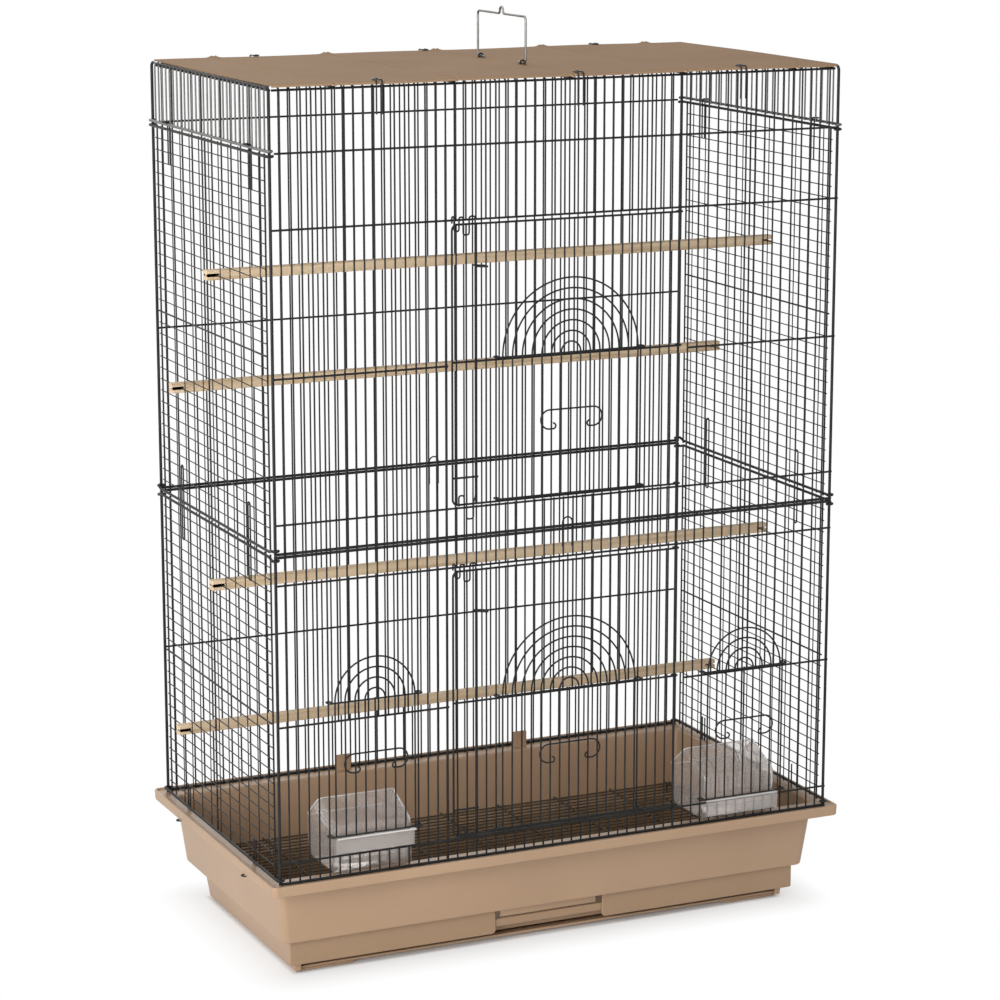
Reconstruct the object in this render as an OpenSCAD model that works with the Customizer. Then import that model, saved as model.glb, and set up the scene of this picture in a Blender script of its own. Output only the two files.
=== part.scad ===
// Flight cage for small birds: wire panels on a moulded base with a drawer.
// Millimetres. X runs along the width, the front faces -Y, Z is up.
// The origin is under the middle of the base, on the floor.

/* [Cage] */
// width between the corner posts
cage_w = 640; // [600:2:700]
// depth between the front and the back bars
cage_d = 350; // [330:2:390]
// height of the rim that the wires stand in
base_h = 116; // [110:1:124]
// height from the rim to the seam between the lower and upper panels
lower_h = 343.5; // [330:0.5:380]
// height from the seam to the bottom of the hood
upper_h = 401.5; // [390:0.5:440]
// height from the bottom of the hood to the roof wires
hood_h = 64; // [56:1:80]
// gaps between the front bars, an even number
bar_gaps = 58; // [58:2:62]

/* [Wire] */
// radius of the upright bars
bar_r = 0.9; // [0.8:0.05:1]
// radius of the cross wires
cross_r = 1.1; // [1:0.05:1.2]
// radius of the panel borders
border_r = 1.5; // [1.3:0.05:1.6]
// radius of the heavy bars beside the doorways
post_r = 1.3; // [1.2:0.05:1.4]
// radius of the side mesh wires
mesh_r = 0.8; // [0.7:0.05:0.9]
// radius of the clip wire
clip_r = 0.8; // [0.7:0.05:0.9]
// inside bend where the bars turn over into the roof
roof_bend = 5; // [4.5:0.5:6]
// spacing of the level mesh wires on the sides
mesh_rise = 12.5; // [11.5:0.25:14]
// gaps between the upright mesh wires on a side
mesh_gaps = 12; // [12:2:14]
// gaps between the hood wires along the depth
hood_gaps = 30; // [28:2:32]

/* [Doors] */
// bars from the middle to the doorway edge
door_bars = 12; // [12:1:13]
// height of the low cross wire over the rim
low_rise = 21; // [19:0.5:24]
// height of a feeder opening
feeder_h = 144; // [138:1:150]
// gap from the seam to the door opening above or below it
seam_margin = 31; // [28:0.5:34]
// gap from the hood to the top of the upper door opening
hood_margin = 75; // [70:0.5:80]
// bars from the middle of a feeder door to its guide bar, plus a half
feeder_half = 4.5; // [4.5:1:4.5]
// bars from the cage middle to a feeder door's middle
feeder_bar = 19.5; // [19.5:1:19.5]
// bars from the middle of a small sliding door to its guide bar
hatch_half = 7.5; // [7.5:1:7.5]
// height the left feeder door is held up by its cup
left_raise = 17; // [17:0.5:19]
// corner bend of the door frames
frame_bend = 6; // [5:0.5:8]
// width across a pull handle
pull_w = 70; // [56:2:72]
// height of a pull handle
pull_h = 20; // [16:1:24]

/* [Base] */
// overhang of the rim past the wires
rim_out = 13; // [11:0.5:15]
// height of the rim's outer lip
lip_h = 11; // [9:0.5:14]
// wall thickness of the mouldings
wall = 2.5; // [2:0.25:3]
// height of the step between the upper wall and the drawer box
step_z = 43; // [41:0.5:46]
// height of the floor grille over the step
grille_rise = 9; // [6:0.5:12]
// height of the runner feet
foot_h = 5; // [4:0.5:6]
// inset of the drawer box from the wires at the ends
box_in_x = 32; // [28:0.5:36]
// inset of the drawer box from the wires at the front
box_in_front = 50; // [46:0.5:54]
// inset of the drawer box from the wires at the back
box_in_back = 43; // [38:0.5:48]
// inset of the drawer front from the wires
face_in = 30; // [28:0.5:34]
// width of the finger notch in the drawer front
notch_w = 126; // [100:2:150]

/* [Perches and cups] */
// side of a square perch
perch_t = 10.5; // [10:0.5:12]
// length of a perch end past the side wires
perch_out = 10; // [8:0.5:12]
// width of a cup
cup_w = 88; // [80:1:88]
// depth of a cup
cup_d = 80; // [70:1:90]
// height of a cup with its hood
cup_h = 71; // [62:1:72]
// wall thickness of a cup
cup_t = 1.6; // [1.4:0.1:2]

/* [Roof] */
// thickness of the roof sheet
sheet_t = 2; // [1.5:0.25:3]
// sheet edge inside the end wires
sheet_in = 3; // [1:1:20]
// height of the carry handle over its pivots
handle_h = 48; // [38:1:50]
// length of the carry handle
handle_l = 120; // [116:2:134]
// radius of the carry handle wire
handle_r = 1.2; // [1.1:0.1:1.5]
// middle of the carry handle along the depth
handle_y = 0; // [-2:1:2]
// middle of the carry handle along the width
handle_x = 10; // [5:1:20]

/* [Hidden] */
$fn = 40;
// gap left between crossing wires at a weld
weld_gap = 0.05;
// gap between parts that slide or turn on one another
run_gap = 0.4;
// gap between parts that rest on one another
rest_gap = 0.1;

function snap(v) = round(v * 100) / 100;

bar_half = bar_gaps / 2;
bar_pitch = cage_w / bar_gaps;
function bar_x(k) = snap(k * bar_pitch);

half_w = cage_w / 2;
half_d = cage_d / 2;
z_rim = base_h;
flange_drop = 2;
z_flange = z_rim - flange_drop;
z_seam = snap(z_rim + lower_h);
z_hood = snap(z_seam + upper_h);
z_roof = snap(z_hood + hood_h);
z_low = snap(z_rim + low_rise);
z_feed = snap(z_low + feeder_h);
z_over_lower = snap(z_seam - seam_margin);
z_under_upper = snap(z_seam + seam_margin);
z_over_upper = snap(z_hood - hood_margin);
z_mid_upper = snap((z_under_upper + z_over_upper) / 2);

// depth of the cross wires past the bars, and of the borders
cross_off = bar_r + cross_r + weld_gap;
border_off = bar_r + border_r + weld_gap;
// half the distance between the two borders at the seam
seam_half = border_r + 0.15;
// half the distance between the side borders at the hood
hood_half = border_r + 0.95;
// level step that keeps the lowest side borders clear of the front one
loop_step = 2 * border_r + 0.5;
z_foot_border = snap(z_flange + rest_gap + border_r);

// radius of a border loop round a corner post
loop_r = snap(bar_r + border_r + weld_gap);
side_border_x = snap(half_w + loop_r);
// front and back borders stop short of the loops at the corners
border_x = snap(half_w - loop_r - border_r - 0.6);
mesh_off = 2 * mesh_r + weld_gap;
mesh_pitch = cage_d / mesh_gaps;
edge_in = 14;
z_side_low_bot = snap(z_foot_border + loop_step);
z_side_low_top = snap(z_seam - seam_half);
z_side_up_bot = snap(z_seam + seam_half);
z_side_up_top = snap(z_hood - hood_half);
z_flap_border = snap(z_hood + hood_half);
rows_low = round((z_side_low_top - z_side_low_bot) / mesh_rise);
rows_up = round((z_side_up_top - z_side_up_bot) / mesh_rise);
function row_low(i) = snap(z_side_low_bot + i * (z_side_low_top - z_side_low_bot) / rows_low);
function row_up(i) = snap(z_side_up_bot + i * (z_side_up_top - z_side_up_bot) / rows_up);
hood_pitch = cage_d / hood_gaps;
function hood_y(j) = snap(j * hood_pitch);

// heavy bars, set back so that the cross wires still meet all the bars
post_y = -half_d + post_r - bar_r;

// door frame: its wire lies in front of the hinge bar
eye_r = snap(post_r + run_gap + cross_r);
door_y = snap(post_y - eye_r);
door_bar_y = door_y + cross_off;
door_clear = 3.4;
door_left = snap(-(door_bars - 0.5) * bar_pitch);
mid_rise = 3.2;
latch_bar = -(door_bars - 3);
// sliding doors: plane of the hoops, rails and pulls in front of a frame at y = 0
hoop_off = -(cross_r + bar_r + run_gap);
rail_off = hoop_off - 2 * bar_r - weld_gap;
hook_r = bar_r + run_gap + bar_r;
guide_off = cross_off;
rail_gap = cross_r + bar_r + run_gap;

// cup lip: where it crosses the low cross wire
lip_z = snap(z_low + cross_r + 0.3);
feeder_rail = snap(lip_z + cup_t + 2 * bar_r + 0.2);
feeder_rise = snap(z_feed + 3.4 - feeder_rail);
cross_y = -half_d - cross_off;
border_y = -half_d - border_off;

// base
rim_w = cage_w + 2 * rim_out;
rim_d = cage_d + 2 * rim_out;
z_lip = z_rim - lip_h;
flange_t = 3;
lip_t = 2.5;
top_in_x = 2.5;
top_in_y = 14;
step_in_x = 11;
step_in_y = 22;
corner_r = 7;
box_w = cage_w - 2 * box_in_x;
box_y0 = -half_d + box_in_front;
box_y1 = half_d - box_in_back;
box_taper = 2;
floor_t = 3;
z_floor = foot_h + floor_t;
drawer_gap = 0.8;
ledge_t = 2.5;
z_ledge = step_z - ledge_t;
tab_drop = 11;
tab_w = notch_w - 12;
// inside of the drawer box
bay_w = box_w - 2 * box_taper - 2 * wall;
bay_y1 = box_y1 - box_taper - wall;
// drawer front
face_y = -half_d + face_in;
face_t = 2.4;
face_w = box_w + 12;
face_z = 13;

// roof
z_sheet = snap(z_roof + bar_r + rest_gap);
z_top = snap(z_sheet + sheet_t);
roof_bar_r = 1.2;
string_x = 10;
string_step = 130;
pivot_z = snap(z_top + handle_r + run_gap);
staple_r = 1;

// materials
wire_tint = [0.10, 0.10, 0.11];
base_tint = [0.66, 0.55, 0.44];
sheet_tint = [0.68, 0.57, 0.46];
wood_tint = [0.80, 0.68, 0.48];
clear_tint = [0.86, 0.88, 0.90];
clip_tint = [0.16, 0.16, 0.17];

// straight wires along each axis
module rod_x(x0, x1, y, z, r) { translate([x0, y, z]) rotate([0, 90, 0]) cylinder(r = r, h = x1 - x0); }
module rod_y(x, y0, y1, z, r) { translate([x, y0, z]) rotate([-90, 0, 0]) cylinder(r = r, h = y1 - y0); }
module rod_z(x, y, z0, z1, r) { translate([x, y, z0]) cylinder(r = r, h = z1 - z0); }

// bends: a wire of radius r turning on radius R from angle a0 to a1
module bend_xy(R, r, a0, a1) { rotate([0, 0, a0]) rotate_extrude(angle = a1 - a0) translate([R, 0]) circle(r = r); }
module bend_xz(R, r, a0, a1) { rotate([90, 0, 0]) bend_xy(R, r, a0, a1); }
module bend_yz(R, r, a0, a1) { rotate([90, 0, 90]) bend_xy(R, r, a0, a1); }

// an upright bar that turns over into the roof; side is -1 at the front and 1 at the back
module roof_bar(x, z0, r, side) {
    y = side * half_d;
    rod_z(x, y, z0, z_roof - roof_bend, r);
    translate([x, y - side * roof_bend, z_roof - roof_bend])
        bend_yz(roof_bend, r, side < 0 ? 90 : 0, side < 0 ? 180 : 90);
}

function in_feeder(k) = abs(abs(k) - feeder_bar) < feeder_half - 0.1;
function in_door(k) = abs(k) < door_bars;
bar_set = [for (k = [-bar_half : bar_half]) k];
function is_post(k) = abs(k) == door_bars;
function front_r(k) = is_post(k) ? post_r : bar_r;
function front_y(k) = is_post(k) ? post_y : -half_d;

module front_lower_panel() color(wire_tint) {
    z0 = z_flange + rest_gap;
    z1 = z_seam - 0.5;
    for (k = bar_set) {
        cut = in_door(k) || in_feeder(k);
        cut_top = in_door(k) ? z_over_lower : z_feed;
        if (cut) {
            rod_z(bar_x(k), -half_d, z0, z_low + cross_r, bar_r);
            rod_z(bar_x(k), -half_d, cut_top - cross_r, z1, bar_r);
        } else {
            rod_z(bar_x(k), front_y(k), z0, z1, front_r(k));
        }
    }
    rod_x(-half_w, half_w, border_y, z_foot_border, border_r);
    rod_x(-border_x, border_x, border_y, z_seam - seam_half, border_r);
    rod_x(-half_w, half_w, cross_y, z_low, cross_r);
    rod_x(-half_w, half_w, cross_y, z_over_lower, cross_r);
    rod_x(-half_w, bar_x(-door_bars) + bar_r, cross_y, z_feed, cross_r);
    rod_x(bar_x(door_bars + 1) - bar_r, half_w, cross_y, z_feed, cross_r);
}

module front_upper_panel() color(wire_tint) {
    z0 = z_seam + 0.5;
    for (k = bar_set)
        if (in_door(k)) {
            rod_z(bar_x(k), -half_d, z0, z_under_upper + cross_r, bar_r);
            roof_bar(bar_x(k), z_over_upper - cross_r, bar_r, -1);
        } else if (is_post(k)) {
            rod_z(bar_x(k), post_y, z0, z_hood + cross_r, post_r);
            roof_bar(bar_x(k), z_hood + cross_r + weld_gap, bar_r, -1);
        } else {
            roof_bar(bar_x(k), z0, bar_r, -1);
        }
    rod_x(-border_x, border_x, border_y, z_seam + seam_half, border_r);
    rod_x(-half_w, half_w, cross_y, z_under_upper, cross_r);
    rod_x(-half_w, half_w, cross_y, z_over_upper, cross_r);
    rod_x(-border_x, border_x, cross_y, z_hood, cross_r);
    rod_x(-half_w, bar_x(-door_bars) + bar_r, cross_y, z_mid_upper, cross_r);
    rod_x(bar_x(door_bars + 1) - bar_r, half_w, cross_y, z_mid_upper, cross_r);
}

module back_lower_panel() color(wire_tint) {
    for (k = bar_set)
        rod_z(bar_x(k), half_d, z_flange + rest_gap, z_seam - 0.5, bar_r);
    rod_x(-half_w, half_w, -border_y, z_foot_border, border_r);
    rod_x(-border_x, border_x, -border_y, z_seam - seam_half, border_r);
    rod_x(-half_w, half_w, -cross_y, z_feed, cross_r);
}

module back_upper_panel() color(wire_tint) {
    for (k = bar_set)
        roof_bar(bar_x(k), z_seam + 0.5, bar_r, 1);
    rod_x(-border_x, border_x, -border_y, z_seam + seam_half, border_r);
    rod_x(-half_w, half_w, -cross_y, z_mid_upper, cross_r);
    rod_x(-border_x, border_x, -cross_y, z_hood, cross_r);
}

// a level border on the right side whose ends loop round the corner posts
module side_border(z) {
    rod_y(side_border_x, -half_d, half_d, z, border_r);
    translate([half_w, -half_d, z]) bend_xy(loop_r, border_r, 180, 360);
    translate([half_w, half_d, z]) bend_xy(loop_r, border_r, 0, 180);
}

// one mesh panel on the right side, between two border levels
module side_mesh(z_bot, z_top, rows, heavy) {
    x_up = half_w;
    x_row = half_w + mesh_off;
    edge_y = half_d - edge_in;
    z0 = z_bot - border_r;
    z1 = z_top + border_r;
    side_border(z_bot);
    side_border(z_top);
    for (i = [1 : rows - 1])
        rod_y(x_row + (i == heavy ? cross_r - mesh_r : 0), -edge_y - mesh_r, edge_y + mesh_r,
            z_bot + i * (z_top - z_bot) / rows, i == heavy ? cross_r : mesh_r);
    for (j = [1 - mesh_gaps / 2 : mesh_gaps / 2 - 1])
        rod_z(x_up, j * mesh_pitch, z0, z1, mesh_r);
    for (s = [-1, 1])
        rod_z(x_up - cross_r + mesh_r, s * edge_y, z0, z1, cross_r);
    rod_z(x_up - cross_r + mesh_r, mesh_pitch / 2 - 3, z0, z1, cross_r);
}

heavy_low = round((z_feed - z_side_low_bot) / mesh_rise);
heavy_up = round((z_mid_upper + 25 - z_side_up_bot) / mesh_rise);
module right_lower_side() color(wire_tint) side_mesh(z_side_low_bot, z_side_low_top, rows_low, heavy_low);
module right_upper_side() color(wire_tint) side_mesh(z_side_up_bot, z_side_up_top, rows_up, heavy_up);
module left_lower_side() color(wire_tint) mirror([1, 0, 0])
    side_mesh(z_side_low_bot, z_side_low_top, rows_low, heavy_low);
module left_upper_side() color(wire_tint) mirror([1, 0, 0])
    side_mesh(z_side_up_bot, z_side_up_top, rows_up, heavy_up);

// hood wires on the right end, turned over to meet the roof wires
hood_last = hood_gaps / 2 - 1;
module hood_flap() {
    z1 = z_roof - roof_bend;
    for (j = [-hood_last : hood_last]) {
        rod_z(half_w, hood_y(j), z_flap_border - border_r, z1, bar_r);
        translate([half_w - roof_bend, hood_y(j), z1]) bend_xz(roof_bend, bar_r, 0, 90);
    }
    side_border(z_flap_border);
}
module right_hood_flap() color(wire_tint) hood_flap();
module left_hood_flap() color(wire_tint) mirror([1, 0, 0]) hood_flap();

// roof grid: wires across, stringers under them and a bar inside each bend
module roof_wires() color(wire_tint) {
    x_end = half_w - roof_bend - rest_gap;
    bend_in = snap((roof_bend - bar_r - roof_bar_r - weld_gap) * 0.7071);
    bar_z = z_roof - roof_bend + bend_in;
    bar_y = half_d - roof_bend + bend_in;
    side_x = half_w - roof_bend + bend_in;
    string_z = z_roof - bar_r - cross_r - weld_gap;
    for (j = [2 - hood_gaps / 2 : hood_gaps / 2 - 2])
        rod_x(-x_end, x_end, hood_y(j), z_roof, bar_r);
    for (i = [-2 : 2])
        rod_y(string_x + i * string_step, 0.3 + roof_bar_r - bar_y, bar_y - roof_bar_r - 0.3, string_z, cross_r);
    for (s = [-1, 1])
        rod_y(s * half_w, roof_bend + rest_gap - half_d, half_d - roof_bend - rest_gap, z_roof, bar_r);
    for (s = [-1, 1]) {
        rod_x(0.3 + roof_bar_r - side_x, side_x - roof_bar_r - 0.3, s * bar_y, bar_z, roof_bar_r);
        rod_y(s * side_x, 0.3 + roof_bar_r - bar_y, bar_y - roof_bar_r - 0.3, bar_z, roof_bar_r);
    }
}

staple_leg = snap(handle_r + run_gap + staple_r);
staple_at = [-1, 1];
staple_in = 9;
function staple_y(s) = (round((handle_y + s * (handle_l / 2 - staple_in)) / hood_pitch - 0.5) + 0.5) * hood_pitch;

module roof_sheet() color(sheet_tint) difference() {
    translate([-half_w + sheet_in, -half_d + 1, z_sheet]) cube([cage_w - 2 * sheet_in, cage_d - 2, sheet_t]);
    for (s = staple_at)
        for (t = [-1, 1])
            translate([handle_x + t * staple_leg, staple_y(s), z_sheet - 1])
                cylinder(r = staple_r + 0.3, h = sheet_t + 2);
}

// wire staples that hold the feet of the carry handle on the roof
module handle_staples() color(clip_tint)
    for (s = staple_at)
        translate([handle_x, snap(staple_y(s)), pivot_z]) {
            bend_xz(staple_leg, staple_r, 0, 180);
            for (t = [-1, 1])
                rod_z(t * staple_leg, 0, z_roof - bar_r - pivot_z, 0, staple_r);
        }

// wire bail along the depth with a small hanging loop at the top
module carry_handle() color(clip_tint) translate([handle_x, handle_y, pivot_z]) {
    reach = handle_l / 2;
    turn = 4;
    knob = 4;
    knob_turn = 3;
    foot = staple_in + 4;
    for (s = [0, 1]) mirror([0, s, 0]) {
        rod_y(0, reach - turn - foot, reach - turn, 0, handle_r);
        translate([0, reach - turn, turn]) bend_yz(turn, handle_r, 270, 360);
        rod_z(0, reach, turn, handle_h - turn, handle_r);
        translate([0, reach - turn, handle_h - turn]) bend_yz(turn, handle_r, 0, 90);
        rod_y(0, knob + knob_turn, reach - turn, handle_h, handle_r);
        translate([0, knob + knob_turn, handle_h + knob_turn]) bend_yz(knob_turn, handle_r, 180, 270);
        translate([0, 0, handle_h + knob_turn]) bend_yz(knob, handle_r, 0, 90);
    }
}

// a door frame bent from one wire, with eyes round the hinge bar
module door_frame(z_bot, z_mid, z_top) {
    hinge_x = bar_x(door_bars);
    for (z = [z_bot, z_mid, z_top])
        translate([hinge_x, post_y, z]) bend_xy(eye_r, cross_r, -90, 200);
    for (z = [z_bot, z_top])
        rod_x(door_left + frame_bend, hinge_x, door_y, z, cross_r);
    rod_z(door_left, door_y, z_bot + frame_bend, z_top - frame_bend, cross_r);
    translate([door_left + frame_bend, door_y, z_bot + frame_bend]) bend_xz(frame_bend, cross_r, 180, 270);
    translate([door_left + frame_bend, door_y, z_top - frame_bend]) bend_xz(frame_bend, cross_r, 90, 180);
    rod_x(door_left + cross_r + weld_gap, hinge_x, door_y, z_mid, cross_r);
}

// upright bars of a door, cut away behind the small sliding door
module door_bars_set(z_bot, z_mid, z_top) {
    over = 0.8;
    for (k = [1 - door_bars : door_bars - 1]) {
        cut = abs(k - 0.5) < hatch_half - 0.1;
        r = k == latch_bar ? post_r : bar_r;
        rod_z(bar_x(k), door_bar_y + r - bar_r, (cut ? z_mid : z_bot) - over, z_top + over, r);
    }
    short_z = z_bot + 28;
    rod_x(door_left + cross_r + weld_gap, bar_x(latch_bar) + bar_r, door_y, short_z, cross_r);
}

// sliding catch: a wire folded to and fro at the top, with a hook, a thumb knob and a tail
latch_x = snap(bar_x(latch_bar) - 3);
latch_y = snap(door_y + hoop_off);
latch_legs = [0, 6.8, 13.6, 17.8, 23.2];
latch_folds = [0, 16, 16, 12, 12];
module latch(z_hook, z_top, z_bot) {
    hook_bend = snap(cross_y - latch_y);
    hook_z = snap(z_hook + cross_r + run_gap + bar_r - hook_bend + 0.6);
    fold_z = snap(z_hook + 1);
    tail_z = z_bot - 11;
    tail_bend = 3;
    knob_z = z_hook - 46;
    knob_y = latch_y - 2 * bar_r - weld_gap;
    ring_r = 5.6;
    ring_in = ring_r - mesh_r - bar_r - weld_gap;
    away = [bar_x(latch_bar) - latch_x, door_bar_y - latch_y];
    ring_at = [latch_x, latch_y] + away * ring_in / norm(away);
    last = len(latch_legs) - 1;
    rod_z(latch_x, latch_y, tail_z, fold_z, bar_r);
    for (i = [1 : last])
        rod_z(latch_x - latch_legs[i], latch_y, z_hook - latch_folds[i], i == last ? hook_z : fold_z, bar_r);
    for (i = [1 : last]) {
        low = i % 2 == 0;
        R = (latch_legs[i] - latch_legs[i - 1]) / 2;
        translate([latch_x - latch_legs[i] + R, latch_y, low ? z_hook - latch_folds[i] : fold_z])
            bend_xz(R, bar_r, low ? 180 : 0, low ? 360 : 180);
    }
    translate([latch_x - latch_legs[last], cross_y, hook_z]) bend_yz(hook_bend, bar_r, 0, 180);
    rod_z(latch_x - latch_legs[last], cross_y + hook_bend, z_hook - 3.5, hook_z, bar_r);
    translate([latch_x + tail_bend, latch_y, tail_z]) bend_xz(tail_bend, bar_r, 180, 360);
    rod_z(latch_x + 2 * tail_bend, latch_y, tail_z, tail_z + 9, bar_r);
    rod_x(latch_x - 5, latch_x + 1.5, knob_y, knob_z, bar_r);
    rod_x(latch_x + 1.5, latch_x + 8, knob_y, knob_z, 2 * bar_r);
    for (z = [z_top - 24, z_bot + 44])
        translate([snap(ring_at[0]), snap(ring_at[1]), z]) bend_xy(ring_r, mesh_r, 0, 360);
}

// small sliding door: nested hoops over a base rail, frame wires at y = 0
module hatch_hoops(xc, y, half, z_bot, z_base) {
    over = 0.8;
    for (k = [1 : half - 0.5]) {
        R = snap(k * bar_pitch);
        translate([xc, y + hoop_off, z_base]) {
            bend_xz(R, bar_r, 0, 180);
            for (s = [-1, 1])
                rod_z(s * R, 0, z_bot - over - z_base, 0, bar_r);
        }
    }
    rod_z(xc, y + hoop_off, z_bot - over, z_base + over, bar_r);
}

// a rail whose ends hook round the guide bars
module hatch_rail(x0, x1, y, z) {
    back = snap(guide_off - rail_off + bar_r + run_gap + bar_r - hook_r);
    rod_x(x0, x1, y + rail_off, z, bar_r);
    for (s = [0, 1])
        translate([s == 0 ? x1 : x0, y + rail_off, z]) mirror([s, 0, 0]) {
            translate([0, hook_r, 0]) bend_xy(hook_r, bar_r, 270, 360);
            rod_y(hook_r, hook_r, back, 0, bar_r);
            translate([0, back, 0]) bend_xy(hook_r, bar_r, 0, 180);
            rod_y(-hook_r, hook_r, back, 0, bar_r);
        }
}

// scroll pull: a bar whose ends curl down and in
module scroll_pull(xc, y, z) {
    R = pull_h / 2;
    curl = 3;
    run = 4;
    arm = pull_w / 2 - R;
    translate([xc, y + rail_off, z]) {
        rod_x(-arm, arm, 0, 0, bar_r);
        for (s = [0, 1]) mirror([s, 0, 0]) {
            translate([arm, 0, -R]) bend_xz(R, bar_r, -90, 90);
            rod_x(arm - run, arm, 0, -2 * R, bar_r);
            translate([arm - run, 0, curl - 2 * R]) bend_xz(curl, bar_r, 90, 270);
        }
    }
}

upper_bot = snap(z_under_upper + door_clear);
upper_top = snap(z_over_upper - 4.5);
upper_mid = snap(z_mid_upper + mid_rise);
lower_bot = snap(z_low + door_clear);
lower_top = snap(z_over_lower - 4.5);
lower_mid = snap(z_feed + mid_rise);
hatch_x = snap(bar_pitch / 2);
rail_lift = 2.9;
base_lift = 2.6;
pull_drop = 56;

module upper_door_frame() color(wire_tint) door_frame(upper_bot, upper_mid, upper_top);
module upper_door_bars() color(wire_tint) door_bars_set(upper_bot, upper_mid, upper_top);
module upper_door_latch() color(wire_tint) latch(z_over_upper, upper_top, upper_bot);
module upper_hatch_hoops() color(wire_tint)
    hatch_hoops(hatch_x, door_y, hatch_half, upper_bot + rail_lift, upper_mid + base_lift);
module upper_hatch_rails() color(wire_tint)
    for (z = [upper_bot + rail_lift, upper_mid + base_lift])
        hatch_rail(bar_x(0.5 - hatch_half), bar_x(0.5 + hatch_half), door_y, z);
module upper_hatch_pull() color(wire_tint) scroll_pull(hatch_x, door_y, upper_mid - pull_drop);

module lower_door_frame() color(wire_tint) door_frame(lower_bot, lower_mid, lower_top);
module lower_door_bars() color(wire_tint) door_bars_set(lower_bot, lower_mid, lower_top);
module lower_door_latch() color(wire_tint) latch(z_over_lower, lower_top, lower_bot);
module lower_hatch_hoops() color(wire_tint)
    hatch_hoops(hatch_x, door_y, hatch_half, lower_bot + rail_lift, lower_mid + base_lift);
module lower_hatch_rails() color(wire_tint)
    for (z = [lower_bot + rail_lift, lower_mid + base_lift])
        hatch_rail(bar_x(0.5 - hatch_half), bar_x(0.5 + hatch_half), door_y, z);
module lower_hatch_pull() color(wire_tint) scroll_pull(hatch_x, door_y, lower_mid - pull_drop);

// feeder doors slide on the panel bars; side is -1 left and 1 right
function feeder_x(side) = snap(side * feeder_bar * bar_pitch);
function feeder_up(side) = side < 0 ? left_raise : 0;
module feeder_hoops(side)
    hatch_hoops(feeder_x(side), cross_y, feeder_half, feeder_rail + feeder_up(side),
        feeder_rail + feeder_rise + feeder_up(side));
module feeder_rails(side)
    for (dz = [0, feeder_rise])
        hatch_rail(bar_x(side * feeder_bar - feeder_half), bar_x(side * feeder_bar + feeder_half),
            cross_y, feeder_rail + feeder_up(side) + dz);
module feeder_pull(side)
    scroll_pull(feeder_x(side), cross_y, feeder_rail + feeder_rise - pull_drop + feeder_up(side));
module left_feeder_hoops() color(wire_tint) feeder_hoops(-1);
module left_feeder_rails() color(wire_tint) feeder_rails(-1);
module left_feeder_pull() color(wire_tint) feeder_pull(-1);
module right_feeder_hoops() color(wire_tint) feeder_hoops(1);
module right_feeder_rails() color(wire_tint) feeder_rails(1);
module right_feeder_pull() color(wire_tint) feeder_pull(1);

// clear hooded cup, drawn as its section along the depth
function arc(cx, cy, r, a0, a1) = [for (i = [0 : 6]) let (a = a0 + i * (a1 - a0) / 6) [cx + r * cos(a), cy + r * sin(a)]];
module cup(lip_low, lip_high, plate_z, lip_y, plate_y) {
    round_r = 10;
    hood_d = cup_d * 0.55;
    shoulder = cup_h - 20;
    back_h = cup_h * 0.6;
    front_y = -half_d + bar_r + 1;
    bottom = z_flange + 0.4;
    translate([0, 0, bottom]) difference() {
        translate([-cup_w / 2, 0, 0]) rotate([90, 0, 90]) linear_extrude(cup_w)
            translate([front_y, 0]) polygon(concat(
                arc(round_r, round_r, round_r, 180, 270),
                arc(cup_d - 2 * round_r, round_r, round_r, 270, 345),
                [[cup_d, back_h], [hood_d, cup_h], [0, shoulder]]));
        translate([cup_t - cup_w / 2, 0, 0]) rotate([90, 0, 90]) linear_extrude(cup_w - 2 * cup_t)
            translate([front_y, 0]) polygon(concat(
                arc(round_r, round_r, round_r - cup_t, 180, 270),
                arc(cup_d - 2 * round_r, round_r, round_r - cup_t, 270, 345),
                [[cup_d - cup_t, back_h], [cup_d + 9, back_h + 9], [cup_d, cup_h + 9],
                 [hood_d, cup_h + 9], [hood_d, cup_h - cup_t], [cup_t, shoulder - cup_t]]));
    }
    translate([-cup_w / 2, plate_y, plate_z]) cube([cup_w, front_y + cup_t / 2 - plate_y, cup_t]);
    translate([-cup_w / 2, lip_y, lip_low]) cube([cup_w, cup_t, lip_high - lip_low]);
}
// the left lip stands on the low wire and holds its door up, the right one hooks over the wire
hook_lip_y = cross_y - cross_r - 0.6 - cup_t;
module left_cup() color(clear_tint) translate([feeder_x(-1), 0, 0])
    cup(lip_z, lip_z + left_raise + cup_t, lip_z + left_raise, cross_y - cup_t / 2,
        cross_y + rail_off - bar_r - 0.5);
module right_cup() color(clear_tint) translate([feeder_x(1), 0, 0])
    cup(lip_z - 17, lip_z + cup_t, lip_z, hook_lip_y, hook_lip_y);

// square perch whose slotted ends fit over a mesh wire
module perch(y, z) color(wood_tint) difference() {
    long = half_w + mesh_off + perch_out;
    slot = 2 * mesh_r + 0.8;
    translate([-long, y - perch_t / 2, z - perch_t / 2]) cube([2 * long, perch_t, perch_t]);
    for (s = [-1, 1])
        translate([s * long, y, z])
            cube([2 * (perch_out + 2 * mesh_r + 1), perch_t + 2, slot], center = true);
}
function perch_y(j) = (j + 0.5) * mesh_pitch;
module upper_front_perch() perch(perch_y(-1), row_up(21));
module upper_back_perch() perch(perch_y(3), row_up(10));
module lower_front_perch() perch(perch_y(-1), row_low(22));
module lower_back_perch() perch(perch_y(3), row_low(7));

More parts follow.
